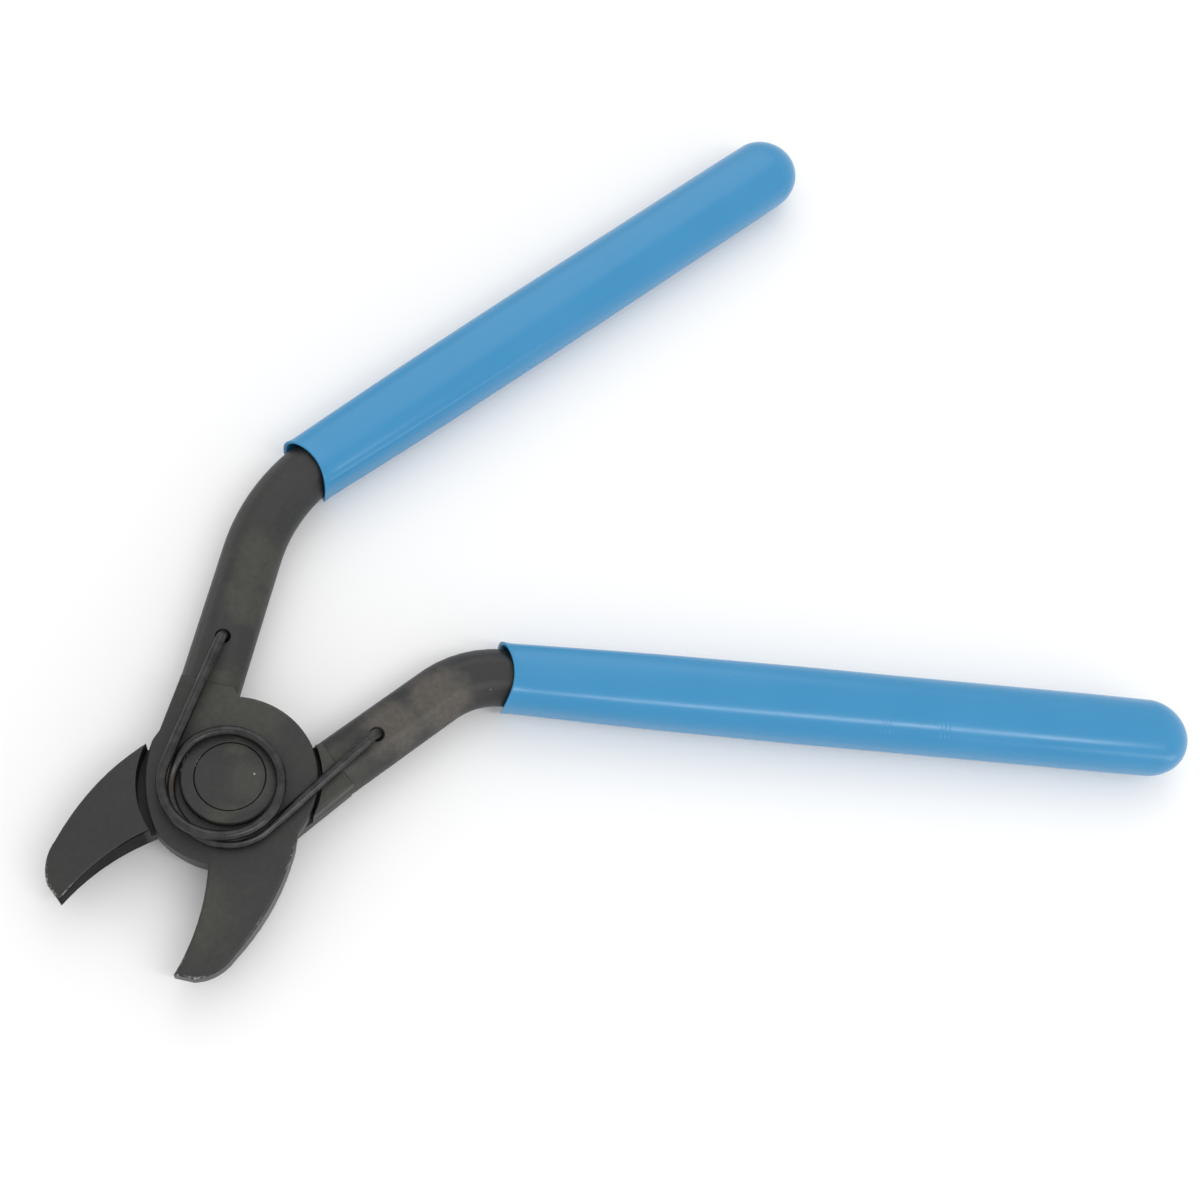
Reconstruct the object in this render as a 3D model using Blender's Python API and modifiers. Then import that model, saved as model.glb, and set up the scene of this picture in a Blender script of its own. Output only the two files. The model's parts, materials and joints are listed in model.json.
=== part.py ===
"""Angled ring-closing pliers with a return spring.

Two forged halves cross at a riveted lap joint.  Each half has a curved blunt jaw,
a round lap and a bar that is bent sideways into a handle with a slip-on sleeve.
A wire torsion spring lies round a collar on the rivet and holds the tool open.

Frame: the origin is on the pivot axis, in the plane that the tool lies on.  +Z
points to the spring side.  +X runs along the two bars, away from the jaws.  The
shapes are drawn with the jaws shut, when the halves mirror each other about X as
far as the bends.  The front half is then turned open about the pivot.
"""

import math

import bmesh
import bpy
from mathutils import Matrix, Vector

MM = 0.001

# Pose
OPEN_ANGLE = math.radians(39.0)      # jaw opening at rest, against the open stop

# Thickness, all measured from the resting plane
MID_Z = 7.0 * MM                     # plane between the two laps
HEAD_THICKNESS = 10.0 * MM           # jaws, laps and the flat roots of the bars
LAP_GAP = 0.3 * MM
BAR_THICKNESS = 9.2 * MM
BAR_WIDTH = 12.0 * MM
BAR_CHAMFER = 2.8 * MM

# Head of each half
BACK_LAP_RADIUS = 15.9 * MM
FRONT_LAP_RADIUS = 16.6 * MM
SHOULDER_RADIUS = 17.3 * MM          # recess that the other half's lap turns in
ROOT_LENGTH = 18.0 * MM              # pivot to the step between root and bar
ROOT_WIDTH = 12.3 * MM
INNER_CORNER = math.radians(178.0)   # where the inner edge of a jaw meets its lap
OUTER_CORNER = math.radians(114.5)   # where the outer edge leaves it
FLAT_DEPTH = 1.0 * MM                # flattening of the front lap beside the back jaw
FLAT_ANGLES = [math.radians(a) for a in (217.0, 248.0, 283.0)]
HEAD_CHAMFER = 0.6 * MM
BAR_OFFSET = 9.3 * MM                # bar centre line from the X axis, jaws shut
JAW_REACH = 37.0 * MM
JAW_TIP_GAP = 0.15 * MM              # half of the gap between the shut tips
JAW_TAPER_START = 15.0 * MM
JAW_TAPER = math.radians(7.5)        # slope of each flat face towards the tip

# Bends and handles: distances from the corner where the centre lines would meet
BACK_CORNER = 51.1 * MM
BACK_BEND = math.radians(41.75)
BACK_BEND_RADIUS = 20.0 * MM
BACK_MOUTH = 9.8 * MM
BACK_SLEEVE = 151.3 * MM
FRONT_CORNER = 62.1 * MM
FRONT_BEND = math.radians(37.45)
FRONT_BEND_RADIUS = 42.0 * MM
FRONT_MOUTH = 11.6 * MM
FRONT_SLEEVE = 146.0 * MM
SLEEVE_BORE = 6.8 * MM
SLEEVE_END_WALL = 4.0 * MM
SLEEVE_FLATNESS = 0.82               # height of a sleeve section over its width
TANG_CLEARANCE = 8.0 * MM            # bar end to the outside of the sleeve end

# Rivet and collar
RIVET_RADIUS = 6.6 * MM
RIVET_HEAD_RADIUS = 9.0 * MM
RIVET_HEAD_THICKNESS = 1.7 * MM
COLLAR_RADIUS = 9.3 * MM
COLLAR_EDGE = 0.8 * MM               # chamfer of the collar's upper edge
COLLAR_HEIGHT = 2.0 * MM             # above the face of the front lap
FIT_GAP = 0.3 * MM

# Return spring
WIRE_RADIUS = 1.0 * MM
SPRING_HOLE = Vector((27.6, 9.4)) * MM   # in the front half, mirrored in the back
SPRING_HOLE_RADIUS = 1.35 * MM
COIL_CENTRE = Vector((-1.6, -0.9)) * MM
COIL_RADIUS = 10.2 * MM
COIL_END_RADIUS = 11.7 * MM          # where each end of the coil leaves for its leg
COIL_START = math.radians(130.0)
COIL_END = math.radians(634.0)
SPREAD_START = math.radians(107.0)   # turn over which an end opens out to its leg
SPREAD_END = math.radians(94.0)
HOOK_RADIUS = 1.7 * MM
HOOK_DEPTH = 3.0 * MM                # straight end of each leg inside its hole

ARC_STEP = math.radians(7.0)
FACE_Z = MID_Z + HEAD_THICKNESS / 2
BELOW_ALL = -10.0 * MM               # heights that every cutter runs between
ABOVE_ALL = 30.0 * MM


# ---------------------------------------------------------------- scene and helpers

for old in list(bpy.data.objects):
    bpy.data.objects.remove(old, do_unlink=True)

part_collection = bpy.data.collections.new("ring_pliers")
cutter_collection = bpy.data.collections.new("cutters")
for collection in (part_collection, cutter_collection):
    bpy.context.scene.collection.children.link(collection)


def material(name, colour, roughness, metallic):
    """A plain Principled finish."""
    finish = bpy.data.materials.new(name)
    finish.use_nodes = True
    shader = finish.node_tree.nodes["Principled BSDF"]
    shader.inputs["Base Color"].default_value = (*colour, 1.0)
    shader.inputs["Roughness"].default_value = roughness
    shader.inputs["Metallic"].default_value = metallic
    return finish


BLACK_STEEL = material("black_oxide_steel", (0.054, 0.054, 0.052), 0.45, 0.8)
SPRING_STEEL = material("spring_steel", (0.045, 0.045, 0.046), 0.3, 0.9)
BLUE_VINYL = material("blue_vinyl", (0.072, 0.296, 0.546), 0.4, 0.0)


def add_part(name, data, finish):
    """A named piece of the tool."""
    piece = bpy.data.objects.new(name, data)
    part_collection.objects.link(piece)
    data.materials.clear()
    data.materials.append(finish)
    return piece


def add_cutter(name, data):
    """A shape used by a Boolean, left out of the tool itself."""
    cutter = bpy.data.objects.new(name, data)
    cutter_collection.objects.link(cutter)
    cutter.hide_render = True
    cutter.display_type = 'WIRE'
    return cutter


def combine(target, operand, operation):
    """Add a Boolean with an operand that is another object."""
    modifier = target.modifiers.new(operand.name, 'BOOLEAN')
    modifier.operation = operation
    modifier.object = operand


def polar(radius, angle):
    """The plan point at a radius and an angle from the pivot."""
    return Vector((radius * math.cos(angle), radius * math.sin(angle)))


def arc(centre, radius, start, end):
    """Points along a circular arc, both ends included."""
    count = max(2, math.ceil(abs(end - start) / ARC_STEP))
    angles = [start + (end - start) * i / count for i in range(count + 1)]
    return [Vector(centre) + polar(radius, angle) for angle in angles]


def arc_through(first, middle, last):
    """Points along the circle through three plan points, from first to last."""
    a, b, c = Vector(first), Vector(middle), Vector(last)
    ab, ac = b - a, c - a
    double_area = 2 * (ab.x * ac.y - ab.y * ac.x)
    centre = a + Vector((
        (ac.y * ab.length_squared - ab.y * ac.length_squared) / double_area,
        (ab.x * ac.length_squared - ac.x * ab.length_squared) / double_area))
    start, via, end = (math.atan2(p.y - centre.y, p.x - centre.x) for p in (a, b, c))
    turn = math.tau if (via - start) % math.tau < (end - start) % math.tau else -math.tau
    end = start + math.copysign(((end - start) * math.copysign(1, turn)) % math.tau, turn)
    return arc(centre, (a - centre).length, start, end)


def mirrored(outline):
    """The outline turned over about the X axis, kept counter-clockwise."""
    return [Vector((point.x, -point.y)) for point in reversed(outline)]


def plate_mesh(name, outline, thickness, chamfer):
    """A flat outline with a thickness and chamfered edges, centred on MID_Z."""
    curve = bpy.data.curves.new(name, 'CURVE')
    curve.dimensions = '2D'
    curve.fill_mode = 'BOTH'
    curve.extrude = thickness / 2 - chamfer
    curve.bevel_depth = chamfer
    curve.bevel_resolution = 0
    curve.offset = -chamfer
    spline = curve.splines.new('POLY')
    spline.points.add(len(outline) - 1)
    for point, place in zip(spline.points, outline):
        point.co = (place.x, place.y, 0.0, 1.0)
    spline.use_cyclic_u = True
    drawn = bpy.data.objects.new(name, curve)
    drawn.location.z = MID_Z
    cutter_collection.objects.link(drawn)
    bpy.context.view_layer.update()
    evaluated = drawn.evaluated_get(bpy.context.evaluated_depsgraph_get())
    mesh = bpy.data.meshes.new_from_object(evaluated)
    mesh.transform(drawn.matrix_world)
    bpy.data.objects.remove(drawn, do_unlink=True)
    bm = bmesh.new()
    bm.from_mesh(mesh)
    bmesh.ops.remove_doubles(bm, verts=bm.verts, dist=0.01 * MM)
    bmesh.ops.recalc_face_normals(bm, faces=bm.faces)
    bm.to_mesh(mesh)
    bm.free()
    return mesh


def cylinder_mesh(name, radius, z_low, z_high, centre=(0.0, 0.0), segments=48):
    """An upright cylinder between two heights."""
    bm = bmesh.new()
    bmesh.ops.create_cone(
        bm, cap_ends=True, segments=segments, radius1=radius, radius2=radius,
        depth=z_high - z_low,
        matrix=Matrix.Translation((centre[0], centre[1], (z_low + z_high) / 2)))
    mesh = bpy.data.meshes.new(name)
    bm.to_mesh(mesh)
    bm.free()
    return mesh


def turned(name, profile, finish, segments, closed=False):
    """A profile of (radius, height) points, turned about the object's Z axis."""
    mesh = bpy.data.meshes.new(name)
    bm = bmesh.new()
    corners = [bm.verts.new((radius, 0.0, height)) for radius, height in profile]
    for first, second in zip(corners, corners[1:]):
        bm.edges.new((first, second))
    if closed:
        bm.edges.new((corners[-1], corners[0]))
    bm.to_mesh(mesh)
    bm.free()
    piece = add_part(name, mesh, finish)
    screw = piece.modifiers.new("turn", 'SCREW')
    screw.steps = segments
    screw.render_steps = segments
    screw.use_merge_vertices = True
    screw.merge_threshold = 0.00001
    return piece


# ---------------------------------------------------------------- forged halves

def jaw_outline():
    """The jaw on the +Y side, from the lap to the tip and back along its inner edge."""
    outer = arc_through(
        Vector((-7.0, 15.1)) * MM, Vector((-18.0, 14.4)) * MM, Vector((-31.5, 9.8)) * MM)
    nose = arc_through(
        Vector((-31.5, 9.8)) * MM, Vector((-35.3, 7.1)) * MM, Vector((-37.0, 3.8)) * MM)
    tip = Vector((-JAW_REACH, JAW_TIP_GAP))
    inner = arc_through(
        tip, Vector((-25.5, 1.7)) * MM, Vector((-16.6, 0.6)) * MM)
    return outer + nose[1:] + inner


def lap_outline(radius, flattened):
    """The lap and the root of the bar, from the inner jaw corner round to the jaw."""
    root_low = -BAR_OFFSET - ROOT_WIDTH / 2
    root_high = -BAR_OFFSET + ROOT_WIDTH / 2
    low_angle = math.tau + math.asin(root_low / radius)
    if flattened:
        flat_start, flat_middle, flat_end = FLAT_ANGLES
        around = arc((0, 0), radius, INNER_CORNER, flat_start)
        around += arc_through(polar(radius, flat_start), polar(radius - FLAT_DEPTH, flat_middle),
                              polar(radius, flat_end))[1:]
        around += arc((0, 0), radius, flat_end, low_angle)[1:]
    else:
        around = arc((0, 0), radius, INNER_CORNER, low_angle)
    root = [Vector((ROOT_LENGTH, root_low)), Vector((ROOT_LENGTH, root_high))]
    return around + root + arc((0, 0), radius, math.asin(root_high / radius), OUTER_CORNER)


def bar_outline(corner, bend, bend_radius, end, side):
    """A bent bar that starts under the lap and ends inside its sleeve."""
    half = BAR_WIDTH / 2
    tangent = bend_radius * math.tan(bend / 2)
    centre = Vector((corner - tangent, side * BAR_OFFSET - bend_radius))
    upper = arc(centre, bend_radius + half, math.pi / 2, math.pi / 2 - bend)
    lower = arc(centre, bend_radius - half, math.pi / 2 - bend, math.pi / 2)
    along = polar(1.0, -bend)
    across = Vector((-along.y, along.x))
    tip = Vector((corner, side * BAR_OFFSET)) + along * end
    start_x = 7.0 * MM
    return ([Vector((start_x, side * BAR_OFFSET + half))] + upper
            + [tip + across * half, tip - across * half]
            + lower + [Vector((start_x, side * BAR_OFFSET - half))])


def taper_cutter(name, side):
    """A block whose lower (side +1) or upper (side -1) face slopes along a jaw face."""
    length, width, height = 60.0 * MM, 80.0 * MM, 20.0 * MM
    bm = bmesh.new()
    bmesh.ops.create_cube(bm, size=1.0)
    bmesh.ops.scale(bm, vec=(length, width, height), verts=bm.verts)
    place = (Matrix.Translation((-JAW_TAPER_START, 0.0, MID_Z + side * HEAD_THICKNESS / 2))
             @ Matrix.Rotation(-side * JAW_TAPER, 4, 'Y')
             @ Matrix.Translation((0.0, 0.0, side * height / 2)))
    bm.transform(place)
    mesh = bpy.data.meshes.new(name)
    bm.to_mesh(mesh)
    bm.free()
    return add_cutter(name, mesh)


def forged_half(name, head, bar, lap_cut, hole, frame):
    """One half: head and bar in one piece, cut for the lap, the rivet and the spring."""
    half = add_part(
        name, plate_mesh(name, head, HEAD_THICKNESS, HEAD_CHAMFER), BLACK_STEEL)
    bar_blank = add_cutter(
        name + "_bar", plate_mesh(name + "_bar", bar, BAR_THICKNESS, BAR_CHAMFER))
    cutters = [
        add_cutter(name + "_lap_cut", cylinder_mesh(name + "_lap_cut", *lap_cut, segments=72)),
        add_cutter(name + "_rivet_hole", cylinder_mesh(
            name + "_rivet_hole", RIVET_RADIUS + FIT_GAP, BELOW_ALL, ABOVE_ALL)),
        add_cutter(name + "_spring_hole", cylinder_mesh(
            name + "_spring_hole", SPRING_HOLE_RADIUS, BELOW_ALL, ABOVE_ALL, hole, 20)),
        taper_cutter(name + "_upper_taper", 1),
        taper_cutter(name + "_lower_taper", -1)]
    combine(half, bar_blank, 'UNION')
    for cutter in cutters:
        combine(half, cutter, 'DIFFERENCE')
    for member in [half, bar_blank] + cutters:
        member.parent = frame
    return half


back_frame = bpy.data.objects.new("back_frame", None)
front_frame = bpy.data.objects.new("front_frame", None)
for empty in (back_frame, front_frame):
    part_collection.objects.link(empty)
front_frame.rotation_euler.z = OPEN_ANGLE

back_tang = BACK_MOUTH + BACK_SLEEVE - TANG_CLEARANCE
back_half = forged_half(
    "back_half",
    jaw_outline() + lap_outline(BACK_LAP_RADIUS, flattened=False),
    bar_outline(BACK_CORNER, BACK_BEND, BACK_BEND_RADIUS, back_tang, side=-1),
    (SHOULDER_RADIUS, MID_Z - LAP_GAP / 2, ABOVE_ALL),
    (SPRING_HOLE.x, -SPRING_HOLE.y), back_frame)

front_tang = FRONT_MOUTH + FRONT_SLEEVE - TANG_CLEARANCE
front_half = forged_half(
    "front_half",
    mirrored(jaw_outline() + lap_outline(FRONT_LAP_RADIUS, flattened=True)),
    bar_outline(FRONT_CORNER, FRONT_BEND, FRONT_BEND_RADIUS, front_tang, side=1),
    (SHOULDER_RADIUS, BELOW_ALL, MID_Z + LAP_GAP / 2),
    (SPRING_HOLE.x, SPRING_HOLE.y), front_frame)


# ---------------------------------------------------------------- rivet and collar

collar_top = FACE_Z + COLLAR_HEIGHT
rivet_edge = 0.4 * MM
pivot_rivet = turned("pivot_rivet", [
    (0.0, collar_top), (RIVET_RADIUS, collar_top), (RIVET_RADIUS, RIVET_HEAD_THICKNESS),
    (RIVET_HEAD_RADIUS, RIVET_HEAD_THICKNESS), (RIVET_HEAD_RADIUS, rivet_edge),
    (RIVET_HEAD_RADIUS - rivet_edge, 0.0), (0.0, 0.0)], BLACK_STEEL, segments=48)

collar_bore = RIVET_RADIUS + FIT_GAP
spring_collar = turned("spring_collar", [
    (collar_bore, collar_top), (COLLAR_RADIUS - COLLAR_EDGE, collar_top),
    (COLLAR_RADIUS, collar_top - COLLAR_EDGE), (COLLAR_RADIUS, FACE_Z + FIT_GAP),
    (collar_bore, FACE_Z + FIT_GAP)], BLACK_STEEL, segments=48, closed=True)


# ---------------------------------------------------------------- handle sleeves

def sleeve(name, corner, side, bend, mouth, length, frame):
    """A slip-on sleeve: a flattened turned shape on the straight end of a bar."""
    end_radius, end_length = 8.5 * MM, 9.0 * MM
    quarter = [math.radians(a) for a in range(75, -1, -15)]
    outer = [(0.0, length)]
    outer += [(end_radius * math.cos(a), length - end_length * (1 - math.sin(a))) for a in quarter]
    outer += [(8.4 * MM, 115.0 * MM), (8.15 * MM, 60.0 * MM), (7.6 * MM, 12.0 * MM),
              (7.45 * MM, 2.5 * MM), (7.65 * MM, 1.0 * MM), (7.45 * MM, 0.0)]
    bore_end = length - SLEEVE_END_WALL
    inner = [(7.0 * MM, 0.0), (SLEEVE_BORE, 1.2 * MM), (SLEEVE_BORE, bore_end - 2.0 * MM),
             (SLEEVE_BORE - 1.2 * MM, bore_end), (0.0, bore_end)]
    piece = turned(name, outer + inner, BLUE_VINYL, segments=36)
    along = polar(1.0, -bend).to_3d()
    up = Vector((0.0, 0.0, 1.0))
    start = Vector((corner, side * BAR_OFFSET, MID_Z)) + along * mouth
    axes = Matrix((up * SLEEVE_FLATNESS, along.cross(up), along)).transposed()
    piece.parent = frame
    piece.matrix_basis = Matrix.Translation(start) @ axes.to_4x4()
    return piece


back_sleeve = sleeve(
    "back_sleeve", BACK_CORNER, -1, BACK_BEND, BACK_MOUTH, BACK_SLEEVE, back_frame)
front_sleeve = sleeve(
    "front_sleeve", FRONT_CORNER, 1, FRONT_BEND, FRONT_MOUTH, FRONT_SLEEVE, front_frame)


# ---------------------------------------------------------------- return spring

def ease(value, start, end):
    """0 before start, 1 after end, and smooth between them."""
    t = min(max((value - start) / (end - start), 0.0), 1.0)
    return t * t * (3 - 2 * t)


def coil_point(angle):
    """A point of the coil: it leaves the front leg high and reaches the back leg low."""
    degrees = math.degrees(angle)
    spread = (1 - ease(angle, COIL_START, COIL_START + SPREAD_START)
              + ease(angle, COIL_END - SPREAD_END, COIL_END))
    radius = COIL_RADIUS + (COIL_END_RADIUS - COIL_RADIUS) * spread
    over_collar = FACE_Z + COLLAR_HEIGHT + WIRE_RADIUS + 0.3 * MM
    on_lap = FACE_Z + WIRE_RADIUS + 0.3 * MM
    over_itself = on_lap + 2 * WIRE_RADIUS + 0.6 * MM
    height = over_itself + (over_collar - over_itself) * ease(degrees, 245.0, 330.0)
    height += (on_lap - over_collar) * ease(degrees, 445.0, 500.0)
    place = COIL_CENTRE + polar(radius, angle)
    return Vector((place.x, place.y, height))


def leg(start, hole, height):
    """A straight leg from the coil to a hook that turns down into a hole."""
    along = (hole - start.to_2d()).normalized().to_3d()
    bend_start = Vector((hole.x, hole.y, height)) - along * HOOK_RADIUS
    points = [start.lerp(bend_start, i / 3) for i in range(1, 4)]
    for step in range(1, 5):
        turn = math.radians(90.0) * step / 4
        points.append(bend_start + along * HOOK_RADIUS * math.sin(turn)
                      - Vector((0, 0, HOOK_RADIUS * (1 - math.cos(turn)))))
    points.append(points[-1] - Vector((0, 0, HOOK_DEPTH)))
    return points


coil_steps = 46
coil = [coil_point(COIL_START + (COIL_END - COIL_START) * i / coil_steps)
        for i in range(coil_steps + 1)]
open_turn = Matrix.Rotation(OPEN_ANGLE, 2)
front_leg = leg(coil[0], open_turn @ SPRING_HOLE, FACE_Z + WIRE_RADIUS + 0.3 * MM)
back_leg = leg(coil[-1], Vector((SPRING_HOLE.x, -SPRING_HOLE.y)), coil[-1].z)
route = list(reversed(front_leg)) + coil + back_leg

wire = bpy.data.curves.new("return_spring", 'CURVE')
wire.dimensions = '3D'
wire.bevel_depth = WIRE_RADIUS
wire.bevel_resolution = 2
wire.use_fill_caps = True
strand = wire.splines.new('POLY')
strand.points.add(len(route) - 1)
for point, place in zip(strand.points, route):
    point.co = (*place, 1.0)
return_spring = add_part("return_spring", wire, SPRING_STEEL)
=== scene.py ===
"""Angled ring-closing pliers with a return spring, finished for display.

The pieces follow the order of assembly: the two forged halves, the rivet and its
collar, the return spring, and last the vinyl sleeves on the handles.
"""

import json
import math

import bmesh
import bpy
from mathutils import Matrix, Vector


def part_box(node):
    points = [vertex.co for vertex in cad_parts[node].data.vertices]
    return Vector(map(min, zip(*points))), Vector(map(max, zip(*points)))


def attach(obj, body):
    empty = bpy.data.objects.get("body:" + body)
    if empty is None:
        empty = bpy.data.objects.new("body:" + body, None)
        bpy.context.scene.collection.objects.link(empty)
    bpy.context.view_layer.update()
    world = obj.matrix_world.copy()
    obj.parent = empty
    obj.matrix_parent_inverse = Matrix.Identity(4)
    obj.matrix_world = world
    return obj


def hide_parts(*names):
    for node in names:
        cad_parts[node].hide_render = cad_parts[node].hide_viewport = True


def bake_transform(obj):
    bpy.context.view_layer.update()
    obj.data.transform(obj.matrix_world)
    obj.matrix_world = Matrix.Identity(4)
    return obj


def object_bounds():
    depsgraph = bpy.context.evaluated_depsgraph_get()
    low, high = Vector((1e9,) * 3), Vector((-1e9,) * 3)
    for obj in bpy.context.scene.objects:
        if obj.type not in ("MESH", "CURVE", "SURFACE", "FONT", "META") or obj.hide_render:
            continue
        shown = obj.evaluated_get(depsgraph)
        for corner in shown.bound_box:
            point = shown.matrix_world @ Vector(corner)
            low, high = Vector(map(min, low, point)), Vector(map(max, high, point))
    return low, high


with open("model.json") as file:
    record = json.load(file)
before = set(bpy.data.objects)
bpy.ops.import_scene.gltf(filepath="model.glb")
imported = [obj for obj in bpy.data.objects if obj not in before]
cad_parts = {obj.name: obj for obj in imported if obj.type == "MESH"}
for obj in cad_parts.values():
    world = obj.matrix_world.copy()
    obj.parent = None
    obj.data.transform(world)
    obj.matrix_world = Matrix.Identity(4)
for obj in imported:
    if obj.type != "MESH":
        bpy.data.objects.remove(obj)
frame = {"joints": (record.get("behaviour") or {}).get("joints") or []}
cad_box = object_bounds()

# ------------------------------------------------------------------ Table and camera
# The tool lies on a plain pale table, on its rivet and its sleeves, and is seen from
# the side of its spring, 25 degrees off the vertical.

MM = 0.001
ORIGIN = Vector((0.0, 0.0, 0.0))
UP = Vector((0.0, 0.0, 1.0))
tool_low, tool_high = cad_box
middle = (tool_low + tool_high) / 2

camera_place = Vector((-39.3, -67.4, 297.0)) * MM
camera_target = Vector((84.4, -12.8, 7.0)) * MM
camera_upright = Vector((0.6455, 0.7638, 0.0))


def turned_towards(place, target, upright):
    """The matrix of a camera or lamp at a place, looking at a target."""
    back = (place - target).normalized()
    right = upright.cross(back).normalized()
    axes = Matrix((right, back.cross(right), back)).transposed()
    return Matrix.Translation(place) @ axes.to_4x4()


camera_data = bpy.data.cameras.new("camera")
camera_data.lens = 45.0
camera_data.sensor_width = 36.0
camera_data.clip_start = 10 * MM
camera_data.clip_end = 20.0
camera = bpy.data.objects.new("camera", camera_data)
camera.matrix_world = turned_towards(camera_place, camera_target, camera_upright)
bpy.context.scene.collection.objects.link(camera)
bpy.context.scene.camera = camera
bpy.context.scene.view_settings.view_transform = 'Standard'


def add_node(tree, kind, inputs, **settings):
    """A shader node with its settings, and its sockets given values or linked."""
    made = tree.nodes.new(kind)
    for name, value in settings.items():
        setattr(made, name, value)
    for socket, value in inputs.items():
        if isinstance(value, bpy.types.NodeSocket):
            tree.links.new(value, made.inputs[socket])
        else:
            made.inputs[socket].default_value = value
    return made


def new_finish(name):
    """An empty material with its node tree and its Principled shader."""
    finish = bpy.data.materials.new(name)
    finish.use_nodes = True
    return finish, finish.node_tree, finish.node_tree.nodes["Principled BSDF"]


table_finish, tree, shader = new_finish("matt_white_table")
shader.inputs["Base Color"].default_value = (0.9, 0.9, 0.9, 1.0)
shader.inputs["Roughness"].default_value = 0.8
shader.inputs["Specular IOR Level"].default_value = 0.2

bm = bmesh.new()
bmesh.ops.create_grid(bm, x_segments=1, y_segments=1, size=12.0)
bmesh.ops.translate(bm, verts=bm.verts, vec=Vector((middle.x, middle.y, tool_low.z)) - UP * 0.05 * MM)
table_mesh = bpy.data.meshes.new("table")
bm.to_mesh(table_mesh)
bm.free()
table = bpy.data.objects.new("table", table_mesh)
table_mesh.materials.append(table_finish)
bpy.context.scene.collection.objects.link(table)

world = bpy.data.worlds.new("white_room")
world.use_nodes = True
world.node_tree.nodes["Background"].inputs["Color"].default_value = (1.0, 1.0, 1.0, 1.0)
world.node_tree.nodes["Background"].inputs["Strength"].default_value = 0.93
bpy.context.scene.world = world


def softbox(name, direction, distance, width, depth, along, power):
    """A soft lamp in a direction from the middle of the tool, its long side along a line."""
    lamp = bpy.data.lights.new(name, 'AREA')
    lamp.shape = 'RECTANGLE'
    lamp.size = width
    lamp.size_y = depth
    lamp.energy = power
    made = bpy.data.objects.new(name, lamp)
    place = middle + Vector(direction).normalized() * distance
    made.matrix_world = turned_towards(place, middle, UP.cross(Vector(along)))
    bpy.context.scene.collection.objects.link(made)


softbox("overhead_strip", (0.04, -0.44, 0.85), 0.9, 0.55, 0.08, (0.746, -0.666, 0.0), 1.5)
softbox("back_softbox", (0.5, 0.6, 0.8), 1.0, 0.7, 0.7, (1.0, 0.0, 0.0), 1.2)
softbox("low_strip", (0.25, -0.95, 0.24), 0.9, 0.8, 0.16, (1.0, 0.0, 0.0), 0.8)

# ------------------------------------------------------------------ Forged halves
# Each half is one steel forging: a curved blunt jaw, a round lap of half the thickness
# and a bar bent sideways into a handle. The laps are milled flat, the spring and rivet
# holes are drilled, and the whole is blackened in a hot oxide bath.

face_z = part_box("front_half")[1].z            # flat upper face of jaws, laps and roots
bottom_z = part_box("back_half")[0].z
mid_z = (face_z + bottom_z) / 2
open_angle = math.radians(-frame["joints"][0]["range_deg"][0])

back_lap_radius = 15.9 * MM
front_lap_radius = 16.6 * MM
shoulder_radius = 17.3 * MM                   # recess that the other half's lap turns in
lap_gap = 0.3 * MM
rivet_radius = 6.6 * MM
fit_gap = 0.3 * MM
root_length = 18.0 * MM
root_low, root_high = -15.45 * MM, -3.15 * MM
bar_offset = 9.3 * MM
bar_width = 12.0 * MM
bar_thickness = 9.2 * MM
jaw_taper_start = 14.0 * MM
jaw_taper = math.tan(math.radians(7.5))
back_corner, back_bend, back_bend_radius = 51.1 * MM, 41.75, 20.0 * MM
front_corner, front_bend, front_bend_radius = 62.1 * MM, 37.45, 42.0 * MM
back_mouth, back_sleeve_length = 9.8 * MM, 151.3 * MM
front_mouth, front_sleeve_length = 11.6 * MM, 146.0 * MM
tang_clearance = 8.0 * MM                     # left between the tang and its sleeve's end
rim_radius = 0.6 * MM                         # broken edge round jaws, laps and roots
taper_cuts, taper_step = 10, 0.8 * MM         # over these the jaw runs into its taper
spring_hole = Vector((27.6, 9.4, 0.0)) * MM
spring_hole_radius = 1.35 * MM


def plan(x, y):
    """A point of the plan, given in millimetres."""
    return Vector((x, y, 0.0)) * MM


def polar(radius, degrees):
    """The plan point at a radius and an angle from the pivot."""
    angle = math.radians(degrees)
    return Vector((radius * math.cos(angle), radius * math.sin(angle), 0.0))


def ease(value, start, end):
    """0 before start, 1 after end, and smooth between them."""
    t = min(max((value - start) / (end - start), 0.0), 1.0)
    return t * t * (3 - 2 * t)


def arc_centre(first, via, last):
    """The centre of the circle through three plan points."""
    ab, ac = via - first, last - first
    double_area = 2 * (ab.x * ac.y - ab.y * ac.x)
    return first + Vector((
        (ac.y * ab.length_squared - ab.y * ac.length_squared) / double_area,
        (ab.x * ac.length_squared - ac.x * ab.length_squared) / double_area, 0.0))


def draw_outline(bm, start, stretches):
    """Fill an outline: a stretch is a point to run straight to, or an arc's middle and end."""
    first = corner = bm.verts.new(start)
    for stretch in stretches:
        if isinstance(stretch, Vector):
            following = bm.verts.new(stretch)
            bm.edges.new((corner, following))
            corner = following
            continue
        via, last = stretch
        centre = arc_centre(corner.co, via, last)
        begin, passing, finish = (math.atan2(p.y - centre.y, p.x - centre.x)
                                  for p in (corner.co, via, last))
        sweep = (finish - begin) % math.tau
        if (passing - begin) % math.tau > sweep:
            sweep -= math.tau
        swung = bmesh.ops.spin(
            bm, geom=[corner], cent=centre, axis=UP, dvec=ORIGIN, angle=sweep,
            steps=max(6, round(abs(sweep) / math.radians(3.0))), use_duplicate=False)
        corner = next(g for g in swung["geom_last"] if isinstance(g, bmesh.types.BMVert))
    bm.edges.new((corner, first))
    return bmesh.ops.contextual_create(bm, geom=bm.edges[:])["faces"][0]


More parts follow.
